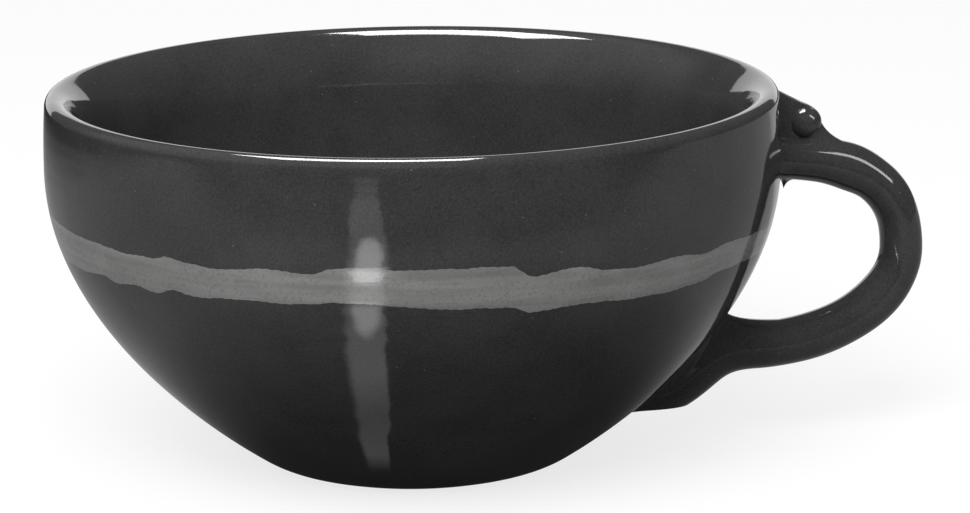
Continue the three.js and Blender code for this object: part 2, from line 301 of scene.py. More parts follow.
def between(table, place):
    """Smooth value at a place in a table of (place, value) pairs, held level past its ends."""
    if place <= table[0][0]:
        return table[0][1]
    for (a, low), (b, high) in zip(table, table[1:]):
        if place <= b:
            return low + (high - low) * eased((place - a) / (b - a))
    return table[-1][1]


def wander(angle, fineness, seed):
    """Steady noise round a ring, from -1 to 1, which meets itself after a full turn."""
    return noise.noise(Vector((cos(angle) * fineness, sin(angle) * fineness, seed)))


def round_axis(point, angle):
    """The place of a (radius, height) point at an angle round the cup."""
    return Vector((point.x * cos(angle), point.x * sin(angle), point.y))


def unturned(place):
    """The (radius, height) point of a place."""
    return Vector((hypot(place.x, place.y), place.z))


class BowlWall:
    """The bowl's outside as a fine line of (radius, height) points."""

    def __init__(self, sizes):
        self.belly = sizes.bowl_height - sizes.belly_drop
        self.lip_round = sizes.lip_edge
        self.lip_middle = Vector((sizes.bowl_radius - sizes.lip_inset, sizes.bowl_height))
        self.lip_middle -= Vector((self.lip_round, self.lip_round))
        start = Vector((sizes.foot_top_radius, sizes.foot_height))
        rise = Vector((cos(FOOT_SLOPE), sin(FOOT_SLOPE))) * FOOT_PULL
        self.lower = [start, start + rise, Vector((sizes.bowl_radius, self.belly - BELLY_PULL)),
                      Vector((sizes.bowl_radius, self.belly))]
        end = self.lip_middle + Vector((cos(LIP_LEAN), sin(LIP_LEAN))) * self.lip_round
        along = Vector((-sin(LIP_LEAN), cos(LIP_LEAN)))
        bend = end + along * (sizes.bowl_radius - end.x) / along.x
        self.upper = [Vector((sizes.bowl_radius, self.belly)), bend, end]
        self.points = bezier_points(self.lower, WALL_SAMPLES) + bezier_points(self.upper, WALL_SAMPLES)[1:]
        self.tree = KDTree(len(self.points))
        for index, point in enumerate(self.points):
            self.tree.insert(point.to_3d(), index)
        self.tree.balance()

    def outward(self, index):
        """The way straight off the wall at one of its points."""
        before = self.points[max(index - 1, 0)]
        after = self.points[min(index + 1, len(self.points) - 1)]
        along = (after - before).normalized()
        return Vector((along.y, -along.x))

    def at(self, height, offset=0.0):
        """The wall's (radius, height) point at a height, moved off the wall."""
        high = bisect_left(self.points, height, 1, len(self.points) - 1, key=lambda point: point.y)
        below, above = self.points[high - 1], self.points[high]
        t = min(max((height - below.y) / (above.y - below.y), 0), 1)
        return below.lerp(above, t) + self.outward(high - 1) * offset

    def nearest(self, point):
        """How far a (radius, height) point lies off the wall, negative inside, and the nearest place."""
        _, index, _ = self.tree.find(point.to_3d())
        out = self.outward(index)
        return (point - self.points[index]).dot(out), index

    def over(self, side, height):
        """How far along X the wall lies at a distance to the side and a height."""
        radius = self.at(height).x
        return sqrt(max(radius * radius - side * side, 0))

    def press(self, verts, sink):
        """Presses clay that reaches into the wall flat, so that it ends just under the surface."""
        for vert in verts:
            point = unturned(vert.co)
            off, index = self.nearest(point)
            if off < -sink:
                pressed = point - self.outward(index) * (off + sink)
                vert.co = round_axis(pressed, atan2(vert.co.y, vert.co.x))


# Meshes

def turned(profile, steps):
    """The mesh that an open (radius, height) profile gives when it spins once round the upright axis."""
    bm = bmesh.new()
    verts = [bm.verts.new((point.x, 0, point.y)) for point in profile]
    edges = [bm.edges.new(pair) for pair in zip(verts, verts[1:])]
    bmesh.ops.spin(bm, geom=verts + edges, cent=(0, 0, 0), axis=(0, 0, 1), angle=tau, steps=steps,
                   use_merge=True)
    bmesh.ops.remove_doubles(bm, verts=bm.verts, dist=WELD)
    return bm


def wrapped(columns, rows, place):
    """A grid with each of its points set at place(u, v), with u and v from 0 to 1."""
    bm = bmesh.new()
    made = bmesh.ops.create_grid(bm, x_segments=columns, y_segments=rows, size=0.5)
    for vert in made["verts"]:
        vert.co = place(vert.co.x + 0.5, vert.co.y + 0.5)
    bmesh.ops.remove_doubles(bm, verts=bm.verts, dist=WELD)
    return bm


def ringed(sections, rows, place):
    """A grid wrapped round a closed ring of sections, with its points at place(number of the section, v)."""
    steps = len(sections)
    return wrapped(steps, rows, lambda u, v: place(round(u * steps) % steps, v))


def only(kind, geom):
    """The vertices or the edges in what a bmesh operator gives back."""
    return [item for item in geom if isinstance(item, kind)]


def to_object(bm, name):
    """A new object in the scene with a finished mesh."""
    mesh = bpy.data.meshes.new(name)
    bm.to_mesh(mesh)
    bm.free()
    obj = bpy.data.objects.new(name, mesh)
    bpy.context.scene.collection.objects.link(obj)
    return obj


def fused(bm, grain, rounds):
    """Melts overlapping shells into one skin of a grain and smooths it for some rounds."""
    bmesh.ops.recalc_face_normals(bm, faces=bm.faces)
    shells = to_object(bm, "shells")
    mesh = shells.data
    melt = shells.modifiers.new("melt", "REMESH")
    melt.mode = "VOXEL"
    melt.voxel_size = grain
    smooth = shells.modifiers.new("smooth", "SMOOTH")
    smooth.iterations = rounds
    melted = bmesh.new()
    melted.from_object(shells, bpy.context.evaluated_depsgraph_get())
    bpy.data.objects.remove(shells)
    bpy.data.meshes.remove(mesh)
    return melted


def add_piece(bm, name, node, make_finish):
    """Makes a finished mesh the piece that stands for a node of the solids."""
    bmesh.ops.dissolve_degenerate(bm, dist=WELD / 10, edges=bm.edges)
    bmesh.ops.recalc_face_normals(bm, faces=bm.faces)
    piece = to_object(bm, name)
    piece.data.shade_smooth()
    piece.data.set_sharp_from_angle(angle=SHARP_ANGLE)
    finish_name = make_finish.__name__
    piece.data.materials.append(bpy.data.materials.get(finish_name) or make_finish(finish_name))
    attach(piece, BODY)
    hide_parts(node)


def add_glazed(bm, name, node):
    """Makes a finished mesh a piece in the charcoal glaze."""
    add_piece(bm, name, node, fired_glaze)


# Shader maths

class Value:
    """A socket of a node tree that adds and multiplies as a number does."""

    def __init__(self, finish, socket):
        self.finish = finish
        self.socket = socket

    def maths(self, operation, *values):
        """A Math node on one or two values."""
        inputs = dict(zip(("Value", "Value_001"), values))
        return self.finish.node("ShaderNodeMath", {"operation": operation}, inputs)

    def __add__(self, other):
        return self.maths("ADD", self, other)

    __radd__ = __add__

    def __sub__(self, other):
        return self.maths("SUBTRACT", self, other)

    def __rsub__(self, other):
        return self.maths("SUBTRACT", other, self)

    def __mul__(self, other):
        return self.maths("MULTIPLY", self, other)

    __rmul__ = __mul__

    def __truediv__(self, other):
        return self.maths("DIVIDE", self, other)

    def __gt__(self, other):
        return self.maths("GREATER_THAN", self, other)

    def clamped(self):
        return self.maths("MINIMUM", self.maths("MAXIMUM", self, 0), 1)

    def ramp(self, low, high):
        """0 below low, 1 above high and smooth between them. It falls where low is above high."""
        settings = {"interpolation_type": "SMOOTHSTEP"}
        ends = {"Value": self, "From Min": low, "From Max": high}
        if low > high:
            ends.update({"From Min": high, "From Max": low, "To Min": 1.0, "To Max": 0.0})
        return self.finish.node("ShaderNodeMapRange", settings, ends)


class Finish:
    """Builds one node tree, of a material or of the world."""

    def __init__(self, owner):
        self.owner = owner
        owner.use_nodes = True
        self.tree = owner.node_tree
        self.tree.nodes.clear()

    def node(self, kind, settings=None, inputs=None, output=None):
        """Adds a node: its settings first, then the values or links of its sockets."""
        made = self.tree.nodes.new(kind)
        for key, value in (settings or {}).items():
            setattr(made, key, value)
        for key, value in (inputs or {}).items():
            socket = next(s for s in made.inputs if s.enabled and key in (s.identifier, s.name))
            if isinstance(value, Value):
                self.tree.links.new(value.socket, socket)
            else:
                socket.default_value = value
        shown = [s for s in made.outputs if s.enabled and output in (None, s.identifier, s.name)]
        return Value(self, shown[0]) if shown else made

    def place(self):
        """Object coordinates in millimetres."""
        metres = self.node("ShaderNodeTexCoord", output="Object")
        return self.node("ShaderNodeVectorMath", {"operation": "SCALE"}, {"Vector": metres, "Scale": 1 / MM})

    def axes(self, place):
        """The three numbers of a place."""
        parts = self.node("ShaderNodeSeparateXYZ", {}, {"Vector": place}).socket.node
        return [Value(self, socket) for socket in parts.outputs]

    def stretched(self, place, x, y, z):
        return self.node("ShaderNodeVectorMath", {"operation": "MULTIPLY"},
                         {"Vector": place, "Vector_001": (x, y, z)})

    def noise(self, place, scale, detail=2.0):
        return self.node("ShaderNodeTexNoise", {}, {"Vector": place, "Scale": scale, "Detail": detail},
                         "Fac")

    def grains(self, place, spacing, size, rarity):
        """Round grains of a size in millimetres, in a share of the cells of a spacing."""
        near = self.node("ShaderNodeTexVoronoi", {}, {"Vector": place, "Scale": 1 / spacing}, "Distance")
        tint = Value(self, near.socket.node.outputs["Color"])
        chance = self.node("ShaderNodeSeparateColor", {}, {"Color": tint})
        return near.ramp(size / spacing, 0.4 * size / spacing) * (chance > rarity)

    def layered(self, base, *layers):
        """A colour with layers over it, each a mask, a colour and how far that is made lighter or darker."""
        for mask, value, amount in layers:
            base = self.node("ShaderNodeMix", {"data_type": "RGBA"}, {
                "Factor_Float": mask, "A_Color": base, "B_Color": shaded(value, amount)}, "Result_Color")
        return base

    def surface(self, shader):
        """Ends the tree in a shader."""
        kind = "World" if isinstance(self.owner, bpy.types.World) else "Material"
        self.node("ShaderNodeOutput" + kind, {}, {"Surface": shader})
        return self.owner

    def fired(self, base, roughness, height):
        """Ends the tree in fired clay or glaze, with a relief of a height in millimetres."""
        gloss = bpy.context.scene.cup_finishes.gloss
        relief = self.node("ShaderNodeBump", {}, {"Height": height, "Distance": MM, "Strength": 1.0})
        return self.surface(self.node("ShaderNodeBsdfPrincipled", {}, {
            "Base Color": base, "Roughness": roughness, "Specular IOR Level": gloss, "Normal": relief}))

    def added(self, first, second):
        return self.node("ShaderNodeAddShader", {}, {"Shader": first, "Shader_001": second})

    def glow(self, light, clear=False):
        """Ends the tree in a light, which is added to what lies behind it where the cloth is clear."""
        shader = self.node("ShaderNodeEmission", {}, {"Color": light, "Strength": 1.0})
        return self.surface(self.added(shader, self.node("ShaderNodeBsdfTransparent")) if clear else shader)


def off_axis(x, y):
    """How far a place lies from the cup's axis."""
    return x.maths("SQRT", x * x + y * y)


def degrees_round(x, y):
    """Degrees round the cup's axis, from the handle."""
    return y.maths("ARCTAN2", y, x) * (180 / pi)


def shaded(value, amount):
    """A colour made lighter or darker by a share."""
    return (*(channel * amount for channel in value), 1.0)


def new_finish(name):
    return Finish(bpy.data.materials.new(name))


def glaze_ripple(finish, place):
    """Height of the fired glaze in millimetres: slow ripples, faint throwing rings and pinholes. It lies calm
    where it pools on the bowl's floor and where it is drawn tight over the bead."""
    along, _, height = finish.axes(place)
    over_bead = along.ramp(39.5, 41) * height.ramp(33, 34.5)
    slow = (finish.noise(place, 0.16, 1.0) - 0.5) * height.ramp(5, 16)
    rings = finish.noise(finish.stretched(place, 0.03, 0.03, 0.55), 1.0, 1.0) - 0.5
    skin = finish.noise(place, 1.6, 1.0) - 0.5
    pinholes = finish.grains(place, 1.9, 0.11, 0.86)
    return (slow * 0.05 + rings * 0.02 + skin * 0.0025 - pinholes * 0.03) * (1 - over_bead * 0.85)


def fired_glaze(name):
    """Dark glossy glaze with soft clouding, fine grain and a few pale specks."""
    looks = bpy.context.scene.cup_finishes
    finish = new_finish(name)
    place = finish.place()
    cloud = finish.noise(place, 0.14, 3.0)
    grain = finish.noise(place, 5.0, 2.0)
    specks = finish.grains(place, 1.35, 0.1, 0.75)
    base = finish.layered(
        shaded(looks.glaze, 0.88),
        (cloud.ramp(0.3, 0.7), looks.glaze, 1.12),
        (grain.ramp(0.45, 0.75) * 0.5, looks.glaze, 1.6),
        (grain.ramp(0.5, 0.3) * 0.45, looks.glaze, 0.52),
        (specks * 0.7, looks.speck, 1.0),
    )
    dull = finish.noise(place, 0.5, 3.0).ramp(0.35, 0.75)
    return finish.fired(base, looks.roughness + dull * 0.05 + specks * 0.2, glaze_ripple(finish, place))


def brushed_slip(name):
    """Pale slip under the same gloss, streaked along the brush and thin in places."""
    looks = bpy.context.scene.cup_finishes
    finish = new_finish(name)
    place = finish.place()
    streaks = finish.noise(finish.stretched(place, 0.07, 0.07, 1.15), 1.0, 3.0)
    patches = finish.noise(place, 0.22, 2.0)
    grain = finish.noise(place, 3.1, 2.0)
    specks = finish.grains(place, 1.1, 0.12, 0.8)
    x, y, z = finish.axes(place)
    turn = degrees_round(x, y)
    thin = z.ramp(28.6, 29.1) * turn.ramp(-100, -96) * turn.ramp(-77, -82)
    base = finish.layered(
        shaded(looks.slip, 0.84),
        (streaks.ramp(0.3, 0.7), looks.slip, 1.1),
        (patches.ramp(0.45, 0.75) * 0.5, looks.slip, 1.22),
        (grain.ramp(0.5, 0.3) * 0.6, looks.slip, 0.68),
        (thin * 0.5, looks.slip, 0.55),
        (specks * 0.5, looks.speck, 2.0),
    )
    ripple = glaze_ripple(finish, place) + (streaks - 0.5) * 0.02 + (grain - 0.5) * 0.004
    return finish.fired(base, looks.roughness + 0.02 + patches * 0.04, ripple)


def dry_clay(name):
    """Dry stoneware with turning rings below, and glaze down its side to a ragged line."""
    looks = bpy.context.scene.cup_finishes
    finish = new_finish(name)
    place = finish.place()
    x, y, z = finish.axes(place)
    ring = finish.node("ShaderNodeCombineXYZ", {}, {"X": off_axis(x, y), "Z": z * 0.2})
    rings = finish.noise(ring, 1.7)
    grit = finish.noise(place, 2.6, 4.0)
    dark_grains = finish.grains(place, 0.9, 0.2, 0.75)
    line = z + (finish.noise(place, 0.35, 3.0) - 0.5) * 0.5
    glazed = line.ramp(0.18, 0.3)
    base = finish.layered(
        shaded(looks.clay, 0.8),
        (grit.ramp(0.3, 0.7), looks.clay, 1.15),
        (rings.ramp(0.4, 0.65) * 0.4, looks.clay, 0.72),
        (dark_grains * 0.6, looks.clay, 0.3),
        (glazed, looks.glaze, 1.0),
    )
    relief = (rings * 0.06 + grit * 0.03 - dark_grains * 0.03) * (1 - glazed)
    return finish.fired(base, 0.86 - glazed * 0.76, relief)


# Pieces

class CUP_OT_bowl(Operator):
    """Throw the bowl, with its rounded lip"""

    bl_idname = "cup.bowl"
    bl_label = "Bowl"

    def execute(self, context):
        sizes = context.scene.cup_sizes
        wall = BowlWall(sizes)
        floor = sizes.foot_height + sizes.floor_thickness
        top = wall.lip_middle + Vector((0, wall.lip_round))
        side = Vector((sizes.bowl_radius - sizes.wall, wall.belly - INSIDE_DROP))
        from_lip = [top, top - Vector((sizes.lip_run, 0)), side + Vector((0, PULL_TO_LIP)), side]
        inside = [side, side - Vector((0, PULL_TO_FLOOR)), Vector((sizes.floor_spread, floor)),
                  Vector((0, floor))]
        profile = [Vector((0, sizes.foot_height))]
        profile += bezier_points(wall.lower, WALL_STEPS)
        profile += bezier_points(wall.upper, UPPER_WALL_STEPS)[1:]
        profile += arc_points(wall.lip_middle, wall.lip_round, LIP_LEAN, pi / 2, LIP_STEPS)[1:]
        profile += bezier_points(from_lip, INNER_LIP_STEPS)[1:]
        profile += bezier_points(inside, WALL_STEPS)[1:]
        add_glazed(turned(profile, TURN_STEPS), "thrown_bowl", "bowl")
        return {"FINISHED"}


class CUP_OT_foot(Operator):
    """Turn the low foot, glazed down its side and bare underneath"""

    bl_idname = "cup.foot"
    bl_label = "Foot"

    def execute(self, context):
        sizes = context.scene.cup_sizes
        flare = sizes.foot_top_radius - sizes.foot_radius
        edge_middle = Vector((sizes.foot_radius - sizes.foot_edge / 2, sizes.foot_edge))
        edge = arc_points(edge_middle, sizes.foot_edge, -pi / 2, -pi / 6, FOOT_EDGE_STEPS)
        top = Vector((sizes.foot_top_radius, sizes.foot_height))
        side = [edge[-1], Vector((sizes.foot_radius + flare / 2, sizes.foot_height / 4)), top]
        rings = [Vector((edge[0].x * i / FOOT_RINGS, 0)) for i in range(FOOT_RINGS)]
        profile = rings + edge + bezier_points(side, FOOT_SIDE_STEPS)[1:] + [Vector((0, sizes.foot_height))]
        add_piece(turned(profile, TURN_STEPS), "turned_foot", "foot", dry_clay)
        return {"FINISHED"}


def band_edges(angle):
    """Heights of the band's lower and upper edge at an angle round the bowl."""
    degrees = (angle * 180 / pi + 170) % 360 - 170
    closed = BRUSHED_OUTLINE + [(BRUSHED_OUTLINE[0][0] + 360, *BRUSHED_OUTLINE[0][1:])]
    heights = []
    for edge, (coarse_seed, fine_seed) in enumerate(((1.3, 4.1), (7.9, 2.6)), start=1):
        height = between([(row[0], row[edge]) for row in closed], degrees)
        height += 0.16 * wander(angle, 9, coarse_seed) + 0.09 * wander(angle, 26, fine_seed)
        heights.append(height * MM)
    return heights


class CUP_OT_slip_band(Operator):
    """Brush the pale band of slip round the bowl"""

    bl_idname = "cup.slip_band"
    bl_label = "Slip band"

    def execute(self, context):
        sizes = context.scene.cup_sizes
        wall = BowlWall(sizes)
        edges = [band_edges(tau * i / BAND_STEPS) for i in range(BAND_STEPS)]

        def place(column, v):
            """Up the band's face, and down again through the wall."""
            angle = tau * column / BAND_STEPS
            lower, upper = edges[column]
            across = (1 - cos(tau * v)) / 2
            crown = 1 - abs(2 * across - 1) ** 8
            offset = crown * (sizes.band_relief + BAND_SINK) - BAND_SINK
            if v >= 0.5:
                offset = -BAND_SINK * (1 + 2 * crown)
            return round_axis(wall.at(lower + (upper - lower) * across, offset), angle)

        add_piece(ringed(edges, BAND_ROWS, place), "brushed_band", "slip_band", brushed_slip)
        return {"FINISHED"}


def handle_path(sizes, wall):
    """Places along the rod's axis, as (reach, height) points from the upper root to the tail."""
    root_height = sizes.bowl_height - sizes.handle_drop
    root = Vector((wall.at(root_height).x - sizes.root_sink, root_height))
    outermost = Vector((sizes.bowl_radius + sizes.handle_reach, (root_height + sizes.run_height) / 2))
    bend = wall.at(sizes.run_height) + Vector((RUN_END, 0))

    def quarter(level, fullness):
        """A bend from a level run to the outermost place."""
        reach = Vector((outermost.x - level.x, 0)) * fullness
        rise = Vector((0, level.y - outermost.y)) * fullness
        return [level, level + reach, outermost + rise, outermost]

    tail = [bend, bend - Vector((RUN_PULL, 0)), wall.at(*TAIL_PULL), wall.at(sizes.tail_height)]
    path = bezier_points(quarter(root, UPPER_FULLNESS), ROD_STEPS)
    path += bezier_points(quarter(bend, LOWER_FULLNESS)[::-1], ROD_STEPS)[1:]
    path += bezier_points(tail, ROD_STEPS)[1:]
    end = path[-1] + (path[-1] - path[-2]).normalized() * ROD_SPARE
    return path + bezier_points([path[-1], end], ROD_END_STEPS)[1:]


def on_upper_run(frames, reach, across, up):
    """The place on the rod's upper run at a distance along X and at shares of its section across and up."""
    spot = Vector((across, up, 0))
    places = [frame_matrix @ spot for frame_matrix in frames[:ROD_STEPS]]
    for before, after in zip(places, places[1:]):
        if after.x >= reach:
            break
    return before.lerp(after, (reach - before.x) / (after.x - before.x))


def smeared(place, wall):
    """A place on the lower root, spread sideways where the clay comes down to the wall."""
    off, _ = wall.nearest(unturned(place))
    near = min(max(1 - off / SMEAR_REACH, 0), 1)
    return Vector((place.x, place.y * (1 + SMEAR * near * near), place.z))


def rod_frames(sizes, wall):
    """One matrix for each place on the rod, which turns a unit circle into the rod's oval section."""
    path = handle_path(sizes, wall)
    lengths = [0.0]
    for before, after in zip(path, path[1:]):
        lengths.append(lengths[-1] + (after - before).length)
    frames = []
    for i, point in enumerate(path):
        along = (path[min(i + 1, len(path) - 1)] - path[max(i - 1, 0)]).normalized()
        thickness = between(PULLED_ROD, lengths[i] / lengths[-1]) * MM
        uneven = 1 + 0.025 * noise.noise(Vector((lengths[i] / MM / 5, 0.3, 0.7)))
        across = Vector((0, sizes.rod_width / 2 * uneven, 0))
        up = Vector((-along.y, 0, along.x)) * thickness / 2 * uneven
        forward = Vector((along.x, 0, along.y))
        frame_matrix = Matrix((across, up, forward)).transposed().to_4x4()
        frame_matrix.translation = Vector((point.x, 0, point.y))
        frames.append(frame_matrix)
    return frames


class CUP_OT_handle(Operator):
    """Pull the handle's rod and smear its tail down the wall"""

    bl_idname = "cup.handle"
    bl_label = "Handle"

    def execute(self, context):
        sizes = context.scene.cup_sizes
        wall = BowlWall(sizes)
        frames = rod_frames(sizes, wall)
        bm = bmesh.new()
        bmesh.ops.create_circle(bm, segments=ROD_SIDES, radius=1, matrix=frames[0])
        edges = list(bm.edges)
        for before, after in zip(frames, frames[1:]):
            made = bmesh.ops.extrude_edge_only(bm, edges=edges)["geom"]
            ring = set(only(bmesh.types.BMVert, made))
            edges = [edge for edge in only(bmesh.types.BMEdge, made) if ring.issuperset(edge.verts)]
            bmesh.ops.transform(bm, matrix=after @ before.inverted(), verts=list(ring))
        bmesh.ops.holes_fill(bm, edges=bm.edges, sides=ROD_SIDES)
        for vert in bm.verts:
            if vert.co.z < sizes.bowl_height / 2:
                vert.co = smeared(vert.co, wall)
        wall.press(bm.verts, HANDLE_PRESS)
        self.cut_tail(bm, sizes)
        add_glazed(bm, "pulled_handle", "handle")
        return {"FINISHED"}

    def cut_tail(self, bm, sizes):
        """Cuts the tail flat and rounds the cut's edge."""
        geom = list(bm.verts) + list(bm.edges) + list(bm.faces)
        cut = bmesh.ops.bisect_plane(bm, geom=geom, dist=WELD, plane_co=(0, 0, sizes.tail_height),
                                     plane_no=(0, 0, -1), clear_outer=True)
        rim = only(bmesh.types.BMEdge, cut["geom_cut"])
        bmesh.ops.contextual_create(bm, geom=rim)
        bmesh.ops.bevel(bm, geom=rim, offset=CUT_EDGE, segments=4, profile=0.5, affect="EDGES",
                        material=-1, clamp_overlap=True)


class CUP_OT_thumb_bead(Operator):
    """Press the thumb bead on the rod and draw a web from it up to the lip"""

    bl_idname = "cup.thumb_bead"
    bl_label = "Thumb bead"

    def execute(self, context):
        sizes = context.scene.cup_sizes
        wall = BowlWall(sizes)
        middle = bead_middle(sizes, rod_frames(sizes, wall))
        bm = bmesh.new()
        bmesh.ops.create_uvsphere(bm, u_segments=BEAD_SIDES, v_segments=BEAD_SIDES // 2,
                                  radius=sizes.bead_radius,
                                  matrix=Matrix.Translation((middle.x, 0, middle.y)))
        self.web(bm, sizes, wall, middle)
        bm = fused(bm, BEAD_GRAIN, BEAD_SMOOTHING)
        wall.press(bm.verts, BEAD_PRESS)
        add_glazed(bm, "thumb_bead_ball", "thumb_bead")
        return {"FINISHED"}

    def web(self, bm, sizes, wall, middle):
        """The upright web of clay between the bead, the lip and the rod, thinner than the bead."""
        inside = wall.at(sizes.bowl_height - 1.3 * MM).x - 0.6 * MM
        in_rod = middle.y - sizes.bead_radius + sizes.bead_sink - 0.4 * MM
        crest = [Vector((inside, sizes.bowl_height - 1.2 * MM))]
        crest += [middle + Vector(step) * MM for step in WEB_CREST]
        outline = bezier_points(crest, CREST_STEPS)
        outline += [middle, Vector((middle.x - 0.2 * MM, in_rod)), Vector((inside, in_rod))]
        verts = [bm.verts.new((point.x, -sizes.web / 2, point.y)) for point in outline]
        side = bmesh.ops.extrude_face_region(bm, geom=[bm.faces.new(verts)])["geom"]
        bmesh.ops.translate(bm, verts=only(bmesh.types.BMVert, side), vec=(0, sizes.web, 0))


def bead_middle(sizes, frames):
    """The (reach, height) point at the middle of the bead, which is pressed a little into the rod."""
    reach = sizes.bowl_radius + sizes.bead_reach
    rod_top = on_upper_run(frames, reach, 0, 1).z
    return Vector((reach, rod_top + sizes.bead_radius - sizes.bead_sink))


def fillet_section(corner, start, end, inner, v):
    """A point round a fillet's closed section: along its hollow face, then back through the joint."""
    if v <= FACE_SHARE:
        return bezier([start, corner, end], v / FACE_SHARE)
    back = 2 * (v - FACE_SHARE) / (1 - FACE_SHARE)
    return end.lerp(inner, back) if back <= 1 else inner.lerp(start, back - 1)


class CUP_OT_slip_seams(Operator):
    """Fill the joints of the handle and the bead with slip"""

    bl_idname = "cup.slip_seams"
    bl_label = "Slip seams"

    def execute(self, context):
        sizes = context.scene.cup_sizes
        wall = BowlWall(sizes)
        frames = rod_frames(sizes, wall)
        self.upper(sizes, wall, frames)
        self.lower(sizes, wall, frames)
        self.bead(sizes, frames)
        return {"FINISHED"}

    def upper(self, sizes, wall, frames):
        """The fillet round the upper root, thin below, where a thorn of glaze hangs from the rod."""
        height = sizes.bowl_height - sizes.handle_drop
        wide = sizes.rod_width / 2
        thick = between(PULLED_ROD, 0.05) * MM / 2

        def section(turn):
            c, s = cos(turn), sin(turn)
            flare = sizes.upper_flare * (0.58 + 0.42 * s) * (1 + 0.15 * wander(turn, 1.5, 3.3))
            reach = sizes.upper_reach * (1 + 0.2 * wander(turn, 1.2, 8.1))
            y, z = wide * c, height + thick * s
            spread_y, spread_z = (wide + flare) * c, height + (thick + flare) * s
            corner = Vector((wall.over(y, z), y, z))
            start = Vector((wall.over(spread_y, spread_z) - SEAM_PRESS / 2, spread_y, spread_z))
            end = on_upper_run(frames, corner.x + reach, c * SLIP_INSET, s * SLIP_INSET)
            inner = Vector((corner.x - SEAM_PRESS, y * 0.9, height + thick * s * 0.9))
            return corner, start, end, inner

        def hang(point, corner, turn):
            """How far the thorn of glaze draws a point of the fillet down."""
            along = point.x - corner.x - sizes.drip_reach
            slim = 0.15 * MM if along < 0 else 0.4 * MM
            below = (turn - 1.5 * pi) * wide / (0.5 * MM)
            return sizes.drip * exp(-abs(along) / slim - below * below)

        turns = [tau * i / SEAM_STEPS for i in range(SEAM_STEPS)]
        sections = [section(turn) for turn in turns]

        def place(column, v):
            point = fillet_section(*sections[column], v)
            if v <= FACE_SHARE:
                point.z -= hang(point, sections[column][0], turns[column])
            return point

        add_glazed(ringed(sections, SEAM_ROWS, place), "upper_root_slip", "upper_slip_seam")

    def lower(self, sizes, wall, frames):
        """The clay in the corner over the lower root, laid over the bent rod from one side to the other."""
        # From a little before the rod bends down to near the end of its tail
        first = 2 * ROD_STEPS - 8
        rows = ROD_STEPS + 2
        top = frames[first].translation - frames[first].col[1].to_3d()
        flared = top.z + sizes.lower_flare
        crest = [top - Vector((0, 0, 0.02 * MM)), Vector((wall.over(0, top.z), 0, top.z)),
                 Vector((wall.over(0, flared), 0, flared))]

        def place(u, v):
            section = frames[first + round(v * rows)]
            middle = section.translation
            side = section.col[0].to_3d() * SLIP_INSET
            turn = tau * u
            if u <= 0.5:
                rise = bezier(crest, v) - middle
            else:
                rise = section.col[1].to_3d() * -0.4
            return smeared(middle + side * cos(turn) + rise * sin(turn), wall)

        bm = wrapped(SEAM_STEPS, rows, place)
        bmesh.ops.holes_fill(bm, edges=bm.edges, sides=0)
        wall.press(bm.verts, SEAM_PRESS)
        for vert in bm.verts:
            vert.co.z = max(vert.co.z, sizes.tail_height + CUT_EDGE)
        add_glazed(bm, "lower_root_slip", "lower_slip_seam")

    def bead(self, sizes, frames):
        """The hollow ring of slip between the bead and the rod, widest on the side away from the cup."""
        middle = bead_middle(sizes, frames)
        wide = sizes.rod_width / 2

        def on_rod(out, turn, share_up):
            """The place at a distance from the bead's middle, at a share of the rod's section."""
            across = out * sin(turn) / wide
            up = sqrt(max(1 - across * across, 0))
            return on_upper_run(frames, middle.x + out * cos(turn), across * share_up, up * share_up)

        def section(turn):
            away = ((1 + cos(turn)) / 2) ** 3
            spread = sizes.bead_flare * (0.12 + 0.88 * away) * (1 + 0.1 * wander(turn, 1.4, 5.5))
            climb = radians(-52 + 52 * away)
            radius = sizes.bead_radius - 0.03 * MM
            out = radius * cos(climb)
            end = Vector((middle.x + out * cos(turn), out * sin(turn), middle.y + radius * sin(climb)))
            out += (end.z - on_rod(out, turn, 1).z) * sin(climb) / cos(climb)
            start = on_rod(out + spread, turn, 0.99)
            corner = on_rod(out, turn, 1).lerp((start + end) / 2, 0.55 * away)
            return corner, start, end, on_rod(out * 0.8, turn, 0.85)

        sections = [section(tau * i / SEAM_STEPS) for i in range(SEAM_STEPS)]
        ring = ringed(sections, SEAM_ROWS, lambda column, v: fillet_section(*sections[column], v))
        add_glazed(ring, "bead_root_slip", "bead_slip_seam")


# Studio

def seen_ray(finish):
    """1 for rays from the camera and for reflected and refracted ones, which show the backdrop."""
    path = finish.node("ShaderNodeLightPath").socket.node
    camera, glossy, transmitted = (Value(finish, path.outputs[name]) for name in
                                   ("Is Camera Ray", "Is Glossy Ray", "Is Transmission Ray"))
    return (camera + glossy + transmitted).clamped()


def white_surroundings(ambient):
    world = bpy.data.worlds.new("white_surroundings")
    bpy.context.scene.world = world
    finish = Finish(world)
    strength = seen_ray(finish) * (1 - ambient) + ambient
    finish.surface(finish.node("ShaderNodeBackground", {}, {"Color": (1, 1, 1, 1), "Strength": strength}))


def floor_paint(name):
    """Pale floor that takes the cup's shadow. Most of its white is its own, for the rays that show it."""
    studio = bpy.context.scene.cup_studio
    finish = new_finish(name)
    paint = finish.node("ShaderNodeBsdfDiffuse", {}, {"Color": shaded(studio.floor, 1.0)})
    white = finish.node("ShaderNodeEmission", {}, {"Color": seen_ray(finish), "Strength": studio.floor_white})
    return finish.surface(finish.added(paint, white))


